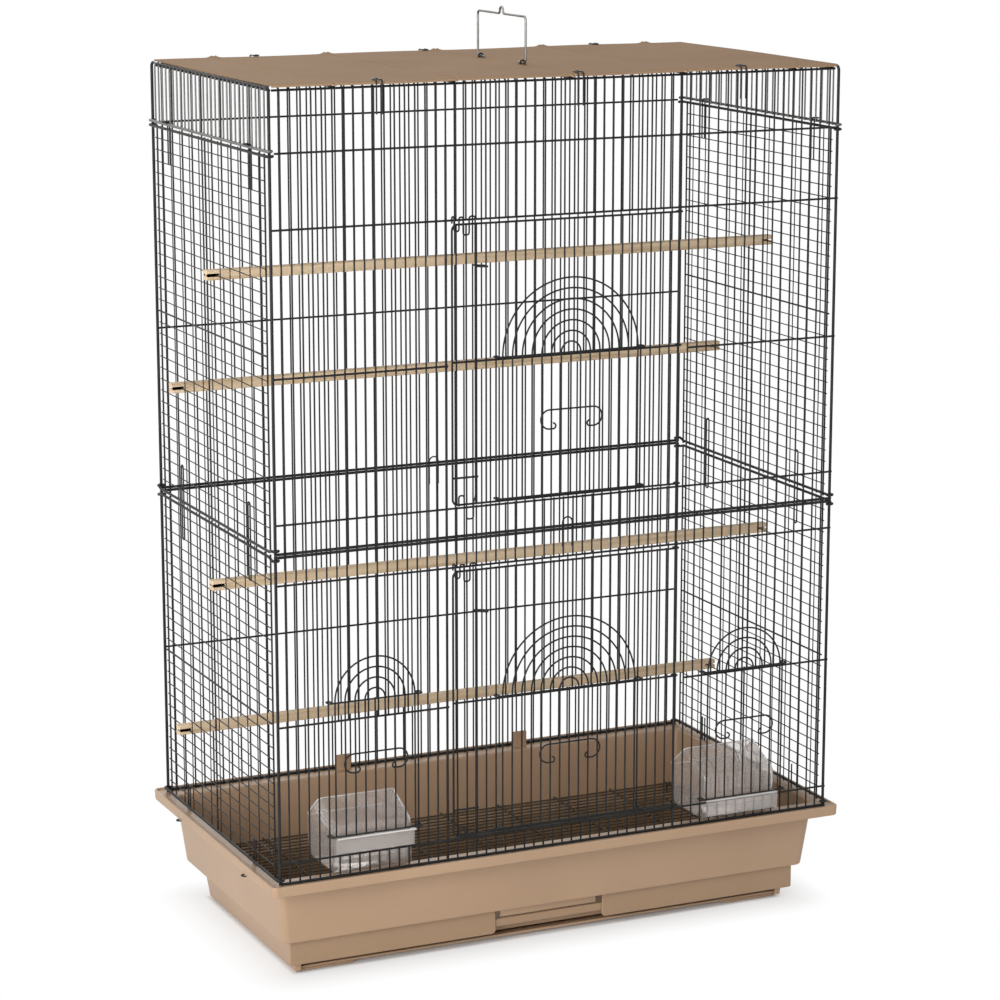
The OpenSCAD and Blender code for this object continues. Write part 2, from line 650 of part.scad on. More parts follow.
// wire clips
clip_half = 3;
front_clips = [-18.5, 1.5, 18.5];
back_clips = [-18.5, -0.5, 18.5];
module roof_clips() color(clip_tint) {
    fold = 2;
    z1 = z_top + clip_r + rest_gap;
    y1 = half_d + bar_r + clip_r + rest_gap;
    for (s = [0, 1]) mirror([0, s, 0])
        for (k = s == 0 ? back_clips : front_clips)
            translate([bar_x(k), 0, 0]) {
                for (t = [-1, 1]) {
                    rod_z(t * clip_half, y1, z_roof - 30, z1 - fold, clip_r);
                    translate([t * clip_half, y1 - fold, z1 - fold]) bend_yz(fold, clip_r, 0, 90);
                    rod_y(t * clip_half, y1 - fold - 8, y1 - fold, z1, clip_r);
                }
                translate([0, y1 - fold - 8, z1]) bend_xy(clip_half, clip_r, 180, 360);
            }
}

// hairpins on the sides: open legs inside the mesh, ends hooked over a wire
module hood_clips() color(clip_tint) {
    fold = 2;
    z1 = z_flap_border + border_r + clip_r + rest_gap;
    x1 = half_w + fold;
    x2 = side_border_x + 1;
    for (m = [0, 1]) mirror([m, 0, 0])
        for (s = [-1, 1])
            translate([0, snap(s * 10.5 * hood_pitch), 0]) {
                for (t = [-1, 1]) {
                    rod_z(half_w, t * clip_half, z_flap_border - 42, z1 - fold, clip_r);
                    translate([x1, t * clip_half, z1 - fold]) bend_xz(fold, clip_r, 90, 180);
                    rod_x(x1, x2, t * clip_half, z1, clip_r);
                }
                translate([x2, 0, z1]) bend_xy(clip_half, clip_r, -90, 90);
            }
}

module seam_clips() color(clip_tint)
    for (m = [0, 1]) mirror([m, 0, 0])
        for (s = [-1, 1])
            translate([half_w, snap(s * 3.5 * mesh_pitch), z_seam]) {
                for (t = [-1, 1]) {
                    rod_z(0, t * clip_half, -38, 38, clip_r);
                    translate([0, 0, t * 38]) bend_yz(clip_half, clip_r, t < 0 ? 180 : 0, t < 0 ? 360 : 180);
                }
            }

module base_clips() color(clip_tint) {
    fold = 2;
    z1 = z_lip - clip_r - 0.4;
    x1 = half_w + fold;
    x2 = half_w + rim_out - 1;
    for (m = [0, 1]) mirror([m, 0, 0])
        for (s = [-1, 1])
            translate([0, snap(s * 3.5 * mesh_pitch), 0]) {
                for (t = [-1, 1]) {
                    rod_z(half_w, t * clip_half, z1 + fold, z_rim + 26, clip_r);
                    translate([x1, t * clip_half, z1 + fold]) bend_xz(fold, clip_r, 180, 270);
                    rod_x(x1, x2, t * clip_half, z1, clip_r);
                }
                translate([x2, 0, z1]) bend_xy(clip_half, clip_r, -90, 90);
            }
}

// hairpins behind the two middle bars that tie the panels at the front and the back
module seam_hairpins() color(clip_tint) {
    R = snap(bar_pitch / 2);
    y = half_d - bar_r - clip_r - rest_gap;
    for (s = [-1, 1])
        translate([R, s * y, z_seam + 4]) {
            bend_xz(R, clip_r, 0, 180);
            for (t = [-1, 1])
                rod_z(t * R, 0, -26, 0, clip_r);
        }
}

// wire floor grille on four short legs, standing on the step of the base
module bottom_grille() color(wire_tint) {
    z = step_z + grille_rise;
    x1 = half_w - step_in_x - wall - 3;
    y1 = half_d - step_in_y - wall - 6;
    n = floor(y1 / 10);
    pitch = y1 / n;
    end_x = x1 - 12;
    cross_z = z + bar_r + cross_r + weld_gap;
    for (j = [-n : n])
        rod_x(-x1, x1, j * pitch, z, bar_r);
    for (i = [-4 : 4])
        rod_y(i * end_x / 4, -y1 - 1.5, y1 + 1.5, cross_z, cross_r);
    for (sx = [-1, 1])
        for (sy = [-1, 1])
            rod_z(sx * end_x, sy * (y1 - pitch / 2), step_z + rest_gap, cross_z - cross_r - weld_gap, cross_r);
}

// moulded base: a rounded plate and a hull between two of them
module slab(w, y0, y1, z) {
    translate([0, 0, z]) linear_extrude(0.01) hull()
        for (sx = [-1, 1])
            for (y = [y0 + corner_r, y1 - corner_r])
                translate([sx * (w / 2 - corner_r), y]) circle(r = corner_r, $fn = 24);
}
module taper(w0, d0, z0, w1, d1, z1) {
    hull() {
        slab(w0, -d0 / 2, d0 / 2, z0);
        slab(w1, -d1 / 2, d1 / 2, z1 - 0.01);
    }
}

module base_tray() color(base_tint) {
    top_w = cage_w - 2 * top_in_x;
    top_d = cage_d - 2 * top_in_y;
    low_w = cage_w - 2 * step_in_x;
    low_d = cage_d - 2 * step_in_y;
    in_w = rim_w - 2 * lip_t;
    in_d = rim_d - 2 * lip_t;
    tab_x = 111;
    foot_w = 70;
    difference() {
        union() {
            difference() {
                taper(rim_w - 1, rim_d - 1, z_lip, rim_w, rim_d, z_rim);
                taper(in_w - 1, in_d - 1, z_flange, in_w, in_d, z_rim + 1);
                taper(in_w - 1, in_d - 1, z_lip - 1, in_w - 1, in_d - 1, z_flange - flange_t);
            }
            taper(low_w, low_d, z_ledge, top_w, top_d, z_flange);
            hull() {
                slab(box_w - 2 * box_taper, box_y0 + box_taper, box_y1 - box_taper, foot_h);
                slab(box_w, box_y0, box_y1, step_z - 0.01);
            }
            for (s = [-1, 1])
                translate([s * (box_w / 2 - 4 - foot_w / 2) - foot_w / 2, box_y0 + 4, 0])
                    cube([foot_w, box_y1 - box_y0 - 8, foot_h + 1]);
            translate([-tab_w / 2, face_y + face_t + drawer_gap, z_ledge - tab_drop]) cube([tab_w, wall, tab_drop + 1]);
        }
        taper(low_w - 2 * wall, low_d - 2 * wall, step_z, top_w - 2 * wall, top_d - 2 * wall, z_rim + 1);
        translate([-bay_w / 2, box_y0 + box_taper + wall, z_floor])
            cube([bay_w, bay_y1 - box_y0 - box_taper - wall, step_z + 1 - z_floor]);
        translate([-bay_w / 2, box_y0 - 5, z_floor]) cube([bay_w, 15, z_ledge - z_floor]);
        for (s = [-1, 1])
            for (t = [-1, 1])
                translate([s * (half_w + 0.7), t * 3.5 * mesh_pitch, z_flange])
                    cube([5, 2 * clip_half + 5, 4 * flange_t], center = true);
    }
    for (s = [-1, 1])
        translate([s * tab_x - 9, half_d - 8, z_flange - 1]) cube([18, wall, 20]);
}

// shallow litter drawer: a tub in the box, a raised shelf with a lip and a wider notched front
module drawer() color(base_tint) {
    w = bay_w - 2 * drawer_gap;
    y1 = bay_y1 - 1;
    z0 = z_floor + rest_gap;
    z1 = z_ledge - drawer_gap;
    step_y = box_y0 - 2;
    t = 2.2;
    shelf_z = face_z + 6.7;
    shelf_lip = 9;
    difference() {
        union() {
            translate([-w / 2, step_y, z0]) cube([w, y1 - step_y, z1 - z0]);
            translate([-w / 2, face_y + 1, shelf_z]) cube([w, step_y - face_y, z1 - shelf_z]);
            translate([-face_w / 2, face_y, face_z]) cube([face_w, face_t, z1 - face_z]);
        }
        translate([t - w / 2, step_y + t, z0 + t]) cube([w - 2 * t, y1 - step_y - 2 * t, z1]);
        translate([t - w / 2, face_y + face_t + t, shelf_z + t]) cube([w - 2 * t, y1 - 2 * t - face_y - face_t, z1]);
        translate([t - w / 2, face_y + face_t, shelf_z + shelf_lip]) cube([w - 2 * t, y1 - t - face_y - face_t, z1]);
        translate([-notch_w / 2, face_y - 1, face_z - 1]) cube([notch_w, face_t + 1, z1]);
    }
}

base_tray();
drawer();
bottom_grille();
front_lower_panel();
front_upper_panel();
back_lower_panel();
back_upper_panel();
left_lower_side();
left_upper_side();
right_lower_side();
right_upper_side();
left_hood_flap();
right_hood_flap();
roof_wires();
roof_sheet();
roof_clips();
hood_clips();
seam_clips();
base_clips();
seam_hairpins();
upper_door_frame();
upper_door_bars();
upper_door_latch();
upper_hatch_hoops();
upper_hatch_rails();
upper_hatch_pull();
lower_door_frame();
lower_door_bars();
lower_door_latch();
lower_hatch_hoops();
lower_hatch_rails();
lower_hatch_pull();
left_feeder_hoops();
left_feeder_rails();
left_feeder_pull();
right_feeder_hoops();
right_feeder_rails();
right_feeder_pull();
left_cup();
right_cup();
upper_front_perch();
upper_back_perch();
lower_front_perch();
lower_back_perch();
carry_handle();
handle_staples();
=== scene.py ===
"""Looks for the flight cage.

Coated wire, a moulded base and drawer, a creased roof sheet, wooden perches and clear cups.
"""

import math

import bpy
import numpy as np
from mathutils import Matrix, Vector


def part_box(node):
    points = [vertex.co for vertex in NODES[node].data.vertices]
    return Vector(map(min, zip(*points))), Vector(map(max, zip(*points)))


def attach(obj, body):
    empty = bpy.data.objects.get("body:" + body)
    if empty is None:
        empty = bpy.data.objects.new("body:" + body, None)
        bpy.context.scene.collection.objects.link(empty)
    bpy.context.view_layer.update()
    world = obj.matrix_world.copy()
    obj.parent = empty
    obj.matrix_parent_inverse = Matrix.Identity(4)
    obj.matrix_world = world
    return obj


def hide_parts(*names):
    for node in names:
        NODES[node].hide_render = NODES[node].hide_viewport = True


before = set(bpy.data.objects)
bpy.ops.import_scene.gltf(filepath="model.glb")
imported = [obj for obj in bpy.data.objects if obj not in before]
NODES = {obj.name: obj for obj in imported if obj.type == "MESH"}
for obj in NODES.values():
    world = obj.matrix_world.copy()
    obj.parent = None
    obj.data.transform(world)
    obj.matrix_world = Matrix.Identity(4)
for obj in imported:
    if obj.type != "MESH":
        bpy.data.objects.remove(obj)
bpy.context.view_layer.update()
MM = 0.001
UP = (0.0, 0.0, 1.0)
ACROSS = (1.0, 0.0, 0.0)


# Mesh helpers: every shape is a grid of points, given in millimetres


def eased(points, radius, closed=False, steps=5):
    """A path whose corners become short parabolas that start and end radius away from the corner."""
    path = np.asarray(points, float)
    reach = np.broadcast_to(np.asarray(radius, float), len(path))[:, None]

    def towards(other):
        """Points on the way to the neighbour, never past the middle of the stretch."""
        away = other - path
        length = np.linalg.norm(away, axis=1, keepdims=True)
        return path + away * np.minimum(reach / np.maximum(length, 1e-9), 0.48)

    first = towards(np.roll(path, 1, 0))[:, None]
    last = towards(np.roll(path, -1, 0))[:, None]
    t = np.linspace(0.0, 1.0, steps)[None, :, None]
    curve = (1 - t) ** 2 * first + 2 * t * (1 - t) * path[:, None] + t ** 2 * last
    if closed:
        return curve.reshape(-1, path.shape[1])
    inner = curve[1:-1].reshape(-1, path.shape[1])
    return np.concatenate([path[:1], inner, path[-1:]])


def shell(grid, wrap=False):
    """Points, quads and end faces of a grid of closed rings, one ring a row.

    Each quad joins a point, the next in its ring and the two in the next row. A wrapped grid joins its last
    row to its first; any other is closed by a flat face at both ends.
    """
    rows, columns = grid.shape[:2]
    index = np.arange(rows * columns).reshape(rows, columns)
    ahead = np.roll(index, -1, 0)
    quads = np.stack([index, np.roll(index, -1, 1), np.roll(ahead, -1, 1), ahead], -1)
    if wrap:
        return grid.reshape(-1, 3), quads.reshape(-1, 4), []
    return grid.reshape(-1, 3), quads[:-1].reshape(-1, 4), [index[0, ::-1], index[-1]]


def rings(rows, steps=6):
    """Level rectangles with round corners; a row is half width, front, back, height and corner radius.

    A ring is four quarter circles, each about a centre one radius inside its corner.
    """
    half, front, back, height, radius = np.asarray(rows, float).T[:, :, None]
    turn = np.repeat(np.arange(4), steps)
    angle = np.tile(np.linspace(0.0, math.pi / 2, steps), 4) + turn * math.pi / 2
    side = np.array([1, -1, -1, 1])[turn]
    end = np.where(turn < 2, back - radius, front + radius)
    x = side * (half - radius) + radius * np.cos(angle)
    y = end + radius * np.sin(angle)
    return np.stack([x, y, np.broadcast_to(height, x.shape)], -1)


def block(low, high, soft=0.8):
    """A box with softened edges between two corners: four rings, of which the end ones are smaller."""
    low = np.asarray(low, float)
    high = np.asarray(high, float)
    half = (high[0] - low[0]) / 2
    rows = [(half - soft, low[1] + soft, high[1] - soft, low[2], soft),
            (half, low[1], high[1], low[2] + soft, soft),
            (half, low[1], high[1], high[2] - soft, soft),
            (half - soft, low[1] + soft, high[1] - soft, high[2], soft)]
    middle = np.array([(low[0] + high[0]) / 2, 0.0, 0.0])
    return shell(rings(rows, 3) + middle)


def plate(outline, front, back, soft):
    """An upright plate: an outline of width and height, seen from the front, with softened edges.

    The outline is drawn at four depths, and at the outer two it is smaller by soft along its miters.
    """
    path = np.asarray(outline, float)
    edge = np.roll(path, -1, 0) - path
    edge /= np.linalg.norm(edge, axis=1, keepdims=True)
    normal = np.stack([edge[:, 1], -edge[:, 0]], -1)
    before = np.roll(normal, 1, 0)
    miter = (normal + before) / (1 + (normal * before).sum(1, keepdims=True))
    small = path - soft * miter
    layers = np.stack([small, path, path, small])
    depth = np.array([back, back - soft, front + soft, front])[:, None]
    return shell(np.stack([layers[..., 0], np.broadcast_to(depth, layers.shape[:2]), layers[..., 1]], -1))


def mirrored(outline):
    """The left twin of a right-hand outline, run the other way round."""
    return outline[::-1] * (-1, 1)


def directions(path):
    """Unit vectors along a path, from its slope at each point."""
    ahead = np.gradient(path, axis=0)
    return ahead / np.linalg.norm(ahead, axis=1, keepdims=True)


def sweep(path, section):
    """A closed section of (inward, height) carried along a level path; the inside lies to the right of it."""
    path = np.asarray(path, float)
    section = np.asarray(section, float)
    ahead = directions(path)
    inward = np.stack([ahead[:, 1], -ahead[:, 0]], -1)
    level = path[:, None, :] + inward[:, None, :] * section[None, :, :1]
    height = np.broadcast_to(section[None, :, 1:], (len(path), len(section), 1))
    return shell(np.concatenate([level, height], -1))


def tube(path, radius, across, sides=10):
    """A round wire: a circle carried along a path; across is a direction that the path never takes."""
    path = np.asarray(path, float)
    ahead = directions(path)
    first = np.cross(ahead, across)
    first /= np.linalg.norm(first, axis=1, keepdims=True)
    second = np.cross(first, ahead)
    angle = np.linspace(0.0, 2 * math.pi, sides, endpoint=False)[:, None]
    ring = first[:, None] * np.cos(angle) + second[:, None] * np.sin(angle)
    return shell(path[:, None] + radius * ring)


def signed_volume(points, quads, ends):
    """Volume within the faces, summed over fans of triangles; negative where the faces look inward."""
    fans = [quads[:, [0, 1, 2]], quads[:, [0, 2, 3]]]
    for ring in ends:
        fans.append(np.stack([np.full(len(ring) - 2, ring[0]), ring[1:-1], ring[2:]], -1))
    a, b, c = points[np.concatenate(fans)].transpose(1, 0, 2)
    return (a * np.cross(b, c)).sum()


def piece(name, shapes, material, body, stands_for=(), crease=40.0):
    """One object from several closed shapes: it rides on a body and may stand for CAD nodes."""
    points = []
    faces = []
    start = 0
    for shape_points, quads, ends in shapes:
        turn = -1 if signed_volume(shape_points, quads, ends) < 0 else 1
        faces += (quads[:, ::turn] + start).tolist()
        faces += [(ring[::turn] + start).tolist() for ring in ends]
        points.append(shape_points)
        start += len(shape_points)
    mesh = bpy.data.meshes.new(name)
    mesh.from_pydata((np.concatenate(points) * MM).tolist(), [], faces)
    mesh.shade_smooth()
    mesh.set_sharp_from_angle(angle=math.radians(crease))
    mesh.materials.append(material)
    obj = bpy.data.objects.new(name, mesh)
    bpy.context.collection.objects.link(obj)
    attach(obj, body)
    if stands_for:
        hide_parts(*stands_for)


def box_mm(node):
    """Low and high corner of a CAD node in millimetres."""
    low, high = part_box(node)
    return np.array(low) / MM, np.array(high) / MM


# Materials


def new_material(name):
    """A node material with only its principled shader; returns the material, its tree and the shader."""
    mat = bpy.data.materials.new(name)
    mat.use_nodes = True
    tree = mat.node_tree
    return mat, tree, tree.nodes["Principled BSDF"]


def noise(tree, scale, detail=3.0, stretch=(1.0, 1.0, 1.0)):
    """A noise texture on Object coordinates, stretched along the axes, returned as its factor."""
    coord = tree.nodes.new("ShaderNodeTexCoord")
    mapping = tree.nodes.new("ShaderNodeMapping")
    mapping.inputs["Scale"].default_value = stretch
    tex = tree.nodes.new("ShaderNodeTexNoise")
    tex.inputs["Scale"].default_value = scale
    tex.inputs["Detail"].default_value = detail
    tree.links.new(coord.outputs["Object"], mapping.inputs["Vector"])
    tree.links.new(mapping.outputs["Vector"], tex.inputs["Vector"])
    return tex.outputs["Fac"]


def ramp(tree, source, stops):
    """A colour ramp from a factor; stops are (place, colour) pairs."""
    node = tree.nodes.new("ShaderNodeValToRGB")
    while len(node.color_ramp.elements) < len(stops):
        node.color_ramp.elements.new(0.5)
    for element, (place, colour) in zip(node.color_ramp.elements, stops):
        element.position = place
        element.color = (*colour, 1.0)
    tree.links.new(source, node.inputs["Fac"])
    return node.outputs["Color"]


def spread(tree, source, low, high):
    """A 0 to 1 factor mapped to the range low to high."""
    node = tree.nodes.new("ShaderNodeMapRange")
    node.inputs["To Min"].default_value = low
    node.inputs["To Max"].default_value = high
    tree.links.new(source, node.inputs["Value"])
    return node.outputs["Result"]


def bump(tree, shader, source, strength, distance):
    """Bump from a height, linked to the shader's normal."""
    node = tree.nodes.new("ShaderNodeBump")
    node.inputs["Strength"].default_value = strength
    node.inputs["Distance"].default_value = distance
    tree.links.new(source, node.inputs["Height"])
    tree.links.new(node.outputs["Normal"], shader.inputs["Normal"])


def coated_wire(name, dark, pale, gloss, sheen=0.22):
    """Coating on steel wire: slow changes of tone from dark to pale, fine orange peel in the gloss."""
    mat, tree, shader = new_material(name)
    tone = ramp(tree, noise(tree, 35.0), [(0.35, dark), (0.7, pale)])
    tree.links.new(tone, shader.inputs["Base Color"])
    peel = noise(tree, 900.0, 2.0)
    tree.links.new(spread(tree, peel, gloss - 0.07, gloss + 0.1), shader.inputs["Roughness"])
    bump(tree, shader, peel, 0.12, 0.0002)
    shader.inputs["Specular IOR Level"].default_value = sheen
    return mat


def bright_wire(name):
    """Plain bright steel wire with drawing lines and a dulled gloss."""
    mat, tree, shader = new_material(name)
    shader.inputs["Metallic"].default_value = 1.0
    tone = ramp(tree, noise(tree, 60.0), [(0.3, (0.2, 0.195, 0.185)), (0.7, (0.31, 0.3, 0.285))])
    tree.links.new(tone, shader.inputs["Base Color"])
    lines = noise(tree, 700.0, 2.0, (1.0, 0.1, 0.1))
    tree.links.new(spread(tree, lines, 0.3, 0.5), shader.inputs["Roughness"])
    bump(tree, shader, lines, 0.1, 0.0001)
    return mat


def moulded(name, dark, pale, rough, sheen, grain_scale=1400.0):
    """Moulded plastic: faint mottling, a fine spark grain and an uneven dull gloss."""
    mat, tree, shader = new_material(name)
    tone = ramp(tree, noise(tree, 9.0, 4.0), [(0.3, dark), (0.68, pale)])
    tree.links.new(tone, shader.inputs["Base Color"])
    grain = noise(tree, grain_scale, 2.0)
    tree.links.new(spread(tree, grain, rough - 0.08, rough + 0.08), shader.inputs["Roughness"])
    bump(tree, shader, grain, 0.15, 0.00012)
    shader.inputs["Specular IOR Level"].default_value = sheen
    return mat


def plain_wood(name):
    """Pale sawn wood with the grain along the perch, darker late wood and fine pores."""
    mat, tree, shader = new_material(name)
    late_wood = (0.5, 0.36, 0.22)
    wood = (0.64, 0.485, 0.315)
    pale_wood = (0.7, 0.54, 0.365)
    grain = noise(tree, 220.0, 5.0, (0.03, 1.0, 1.0))
    tone = ramp(tree, grain, [(0.3, late_wood), (0.5, wood), (0.75, pale_wood)])
    tree.links.new(tone, shader.inputs["Base Color"])
    pores = noise(tree, 900.0, 3.0, (0.06, 1.0, 1.0))
    tree.links.new(spread(tree, pores, 0.55, 0.75), shader.inputs["Roughness"])
    bump(tree, shader, pores, 0.25, 0.0002)
    return mat


def clear_plastic(name, clear):
    """Clear moulded plastic, a little cloudy, with a wavy gloss; clear is the share of light that passes."""
    mat, tree, shader = new_material(name)
    tone = ramp(tree, noise(tree, 18.0), [(0.3, (0.84, 0.795, 0.765)), (0.7, (0.92, 0.88, 0.85))])
    tree.links.new(tone, shader.inputs["Base Color"])
    shader.inputs["Transmission Weight"].default_value = clear
    shader.inputs["IOR"].default_value = 1.49
    waves = noise(tree, 60.0, 2.0)
    tree.links.new(spread(tree, waves, 0.02, 0.06), shader.inputs["Roughness"])
    bump(tree, shader, waves, 0.05, 0.0003)
    return mat


BLACK = coated_wire("black_wire_coat", (0.008, 0.008, 0.0085), (0.016, 0.016, 0.0165), 0.45)
# The grille's coat is a brown, paler than the black wire, as painted light for the lit tray seen between its
# wires.
GRILLE_PAINTED_LIGHT = coated_wire("dull_grille_wire_painted_light", (0.07, 0.055, 0.036), (0.115, 0.092, 0.062), 0.7, 0.1)
# The hood wire's coat is a paler grey than the black wire as painted glare; its higher gloss is real.
HOOD_PAINTED_GLARE = coated_wire("glossy_hood_wire_painted_glare", (0.05, 0.048, 0.044), (0.09, 0.086, 0.078), 0.35, 1.0)
SPRING = coated_wire("black_spring_wire", (0.008, 0.008, 0.009), (0.018, 0.018, 0.019), 0.3)
STEEL = bright_wire("bright_steel_wire")
TAN = moulded("tan_moulding", (0.385, 0.252, 0.155), (0.42, 0.278, 0.173), 0.42, 0.5)
TAN_SHEET = moulded("tan_roof_sheet", (0.30, 0.198, 0.122), (0.335, 0.222, 0.138), 0.8, 0.08, 700.0)
# The drawer's tan is darker than the base's tan as painted shade under the overhang of the tub.
TAN_DRAWER_PAINTED_SHADE = moulded("tan_drawer_painted_shade", (0.325, 0.212, 0.128), (0.355, 0.234, 0.143), 0.45, 0.4)
WOOD = plain_wood("pale_wood")
CLEAR = clear_plastic("clear_cup_plastic", 0.84)
# The beads round the cup mouths and along the lips are a cloudy near white that lets little light through, as
# painted highlight along the rims.
CUP_EDGE_PAINTED_HIGHLIGHT = clear_plastic("cup_edge_painted_highlight", 0.3)


def wire_finish(name):
    """The finish of a CAD node, all of which are wire or are replaced further on."""
    if "clips" in name or name in ("seam_hairpins", "handle_staples"):
        return SPRING
    if "hood" in name:
        return HOOD_PAINTED_GLARE
    if "grille" in name:
        return GRILLE_PAINTED_LIGHT
    if name == "carry_handle":
        return STEEL
    return BLACK


for node_name, node in NODES.items():
    node.data.materials.clear()
    node.data.materials.append(wire_finish(node_name))


# Moulded base: a tub with a rim, the box under it for the drawer, floor, feet, tabs and a skirt

base_high = box_mm("base_tray")[1]
drawer_low, drawer_high = box_mm("drawer")
RIM_HALF = base_high[0]
RIM_REACH = base_high[1]
RIM_Z = 116.0
RIM_FOOT = 105.0
FLANGE_Z = 114.0
FLANGE_UNDER = 111.0
STEP_Z = 43.0
LEDGE_UNDER = 40.5
# half width, front and back of the opening over the drawer
BAY = (283.5, -120.5, 127.5)
FOOT_Z = 3.0
FLOOR_Z = 6.0
FLOOR_HALF = 288.0
FLOOR_FRONT = -131.0
FLOOR_BACK = 130.0
# how far one form of the base is sunk into the next
SUNK = 0.5
# the box hangs from the ledge and leans in towards the floor
BOX_HALF = 296.0
BOX_FRONT = drawer_low[1] + 9.0
BOX_BACK = 138.0
BOX_CORNER = 14.0
BOX_LEAN = 6.5
BOX_WALL = 2.5
BOX_TOP = LEDGE_UNDER + SUNK
BOX_FOOT = FOOT_Z + 0.2
CHEEK_INNER = 283.2
CHEEK_FRONT = BOX_FRONT - 0.6
CHEEK_BACK = BOX_FRONT + 2.0
FOOT_INNER = 221.0
FOOT_OUTER = 287.6
FOOT_FRONT = -130.6
FOOT_BACK = 128.0
TAB_X = 111.0
TAB_HALF = 9.0
TAB_FRONT = 167.0
TAB_BACK = 169.5
SKIRT_HALF = 57.0
SKIRT_FRONT = -141.8
SKIRT_BACK = -139.3
SKIRT_FOOT = 29.5


def tub_row(in_x, in_y, height, corner):
    """A ring of the tub, set in from the edge of the rim."""
    return RIM_HALF - in_x, in_y - RIM_REACH, RIM_REACH - in_y, height, corner


def tub_shape():
    """Rings from the bay outwards, up the outside, over the rim and down the inside; each with its easing."""
    edges = [((*BAY, LEDGE_UNDER, 1.0), 0.4),
             (tub_row(24.0, 35.0, LEDGE_UNDER, 9.0), 2.5),
             (tub_row(15.8, 27.4, FLANGE_UNDER, 9.0), 2.0),
             (tub_row(3.0, 3.0, FLANGE_UNDER, 5.0), 1.0),
             (tub_row(3.0, 3.0, RIM_FOOT, 5.0), 0.6),
             (tub_row(0.5, 0.5, RIM_FOOT, 7.0), 1.0),
             (tub_row(0.0, 0.0, RIM_Z, 7.0), 1.6),
             (tub_row(2.5, 2.5, RIM_Z, 5.0), 1.0),
             (tub_row(3.2, 3.2, FLANGE_Z, 5.0), 1.0),
             (tub_row(18.0, 29.5, FLANGE_Z, 6.0), 3.0),
             (tub_row(26.5, 37.5, STEP_Z, 6.0), 4.0),
             ((*BAY, STEP_Z, 1.0), 0.6)]
    rows, easing = zip(*edges)
    return shell(rings(eased(rows, easing, True), 9), True)


def drawer_box_shapes():
    """The leaning wall carried round the sides and the back, and a cheek plate at each of its front ends."""
    path = eased([(-BOX_HALF, BOX_FRONT), (-BOX_HALF, BOX_BACK), (BOX_HALF, BOX_BACK), (BOX_HALF, BOX_FRONT)],
                 BOX_CORNER, steps=9)
    wall = eased([(0.0, BOX_TOP), (BOX_LEAN, BOX_FOOT), (BOX_LEAN + BOX_WALL, BOX_FOOT), (BOX_WALL, BOX_TOP)],
                 0.4, True, 3)
    cheek = np.array([(CHEEK_INNER, BOX_FOOT), (BOX_HALF - BOX_LEAN, BOX_FOOT), (BOX_HALF, BOX_TOP),
                      (CHEEK_INNER, BOX_TOP)])
    cheeks = [plate(eased(outline, 1.0, True, 4), CHEEK_FRONT, CHEEK_BACK, 0.7)
              for outline in (cheek, mirrored(cheek))]
    return [sweep(path, wall)] + cheeks


def floor_shape():
    """Four rings of the floor, the first and last set in to soften its edges."""
    return shell(rings([(FLOOR_HALF - 0.8, FLOOR_FRONT + 1.0, FLOOR_BACK - 1.0, FOOT_Z, 2.0),
                        (FLOOR_HALF, FLOOR_FRONT, FLOOR_BACK, FOOT_Z + 0.8, 3.0),
                        (FLOOR_HALF, FLOOR_FRONT, FLOOR_BACK, FLOOR_Z - 0.6, 3.0),
                        (FLOOR_HALF - 0.6, FLOOR_FRONT + 0.6, FLOOR_BACK - 0.6, FLOOR_Z, 2.4)]))


def base_blocks():
    """Runner feet and back tabs on both sides, and the skirt over the finger notch of the drawer."""
    blocks = [block((-SKIRT_HALF, SKIRT_FRONT, SKIRT_FOOT), (SKIRT_HALF, SKIRT_BACK, BOX_TOP), 0.8)]
    for side in (-1, 1):
        near, far = sorted((side * FOOT_INNER, side * FOOT_OUTER))
        tab_low = (side * TAB_X - TAB_HALF, TAB_FRONT, FLANGE_Z - SUNK)
        tab_high = (side * TAB_X + TAB_HALF, TAB_BACK, base_high[2])
        blocks.append(block((near, FOOT_FRONT, 0.0), (far, FOOT_BACK, FOOT_Z + SUNK), 1.2))
        blocks.append(block(tab_low, tab_high, 0.9))
    return blocks


base_shapes = [tub_shape(), floor_shape()] + drawer_box_shapes() + base_blocks()
piece("moulded_base", base_shapes, TAN, "cage", ("base_tray",))


# Litter drawer: two front plates beside the finger notch, a raised shelf with a lip, and the tub behind it

NOTCH_HALF = 63.0
FACE_FOOT = 13.0
FACE_DEEP = 2.4
FACE_HALF = drawer_high[0] + 5.0
FACE_FRONT = drawer_low[1]
FACE_BACK = FACE_FRONT + FACE_DEEP
SHELF_Z = 19.7
SHELF_LIP = 28.7
DRAWER_WALL = 2.2
# how far one form of the drawer is sunk into the next
DRAWER_SUNK = 0.3
DRAWER_HALF = 281.9
DRAWER_FRONT = -127.0
DRAWER_BACK = drawer_high[1]
DRAWER_FOOT = drawer_low[2]
DRAWER_TOP = drawer_high[2]


def drawer_front_shapes():
    """The plate right of the notch, eased most at the notch's lower corner, and its mirror image."""
    right = np.array([(NOTCH_HALF, FACE_FOOT), (FACE_HALF, FACE_FOOT), (FACE_HALF, DRAWER_TOP),
                      (NOTCH_HALF + 1.0, DRAWER_TOP)])
    easing = np.array([6.0, 2.0, 1.5, 1.5])
    return [plate(eased(right, easing, True, 7), FACE_FRONT, FACE_BACK, 0.9),
            plate(eased(mirrored(right), easing[::-1], True, 7), FACE_FRONT, FACE_BACK, 0.9)]


def across_drawer(front, back, foot, top, soft=0.5):
    """A block over the whole width of the drawer's tub."""
    return block((-DRAWER_HALF, front, foot), (DRAWER_HALF, back, top), soft)


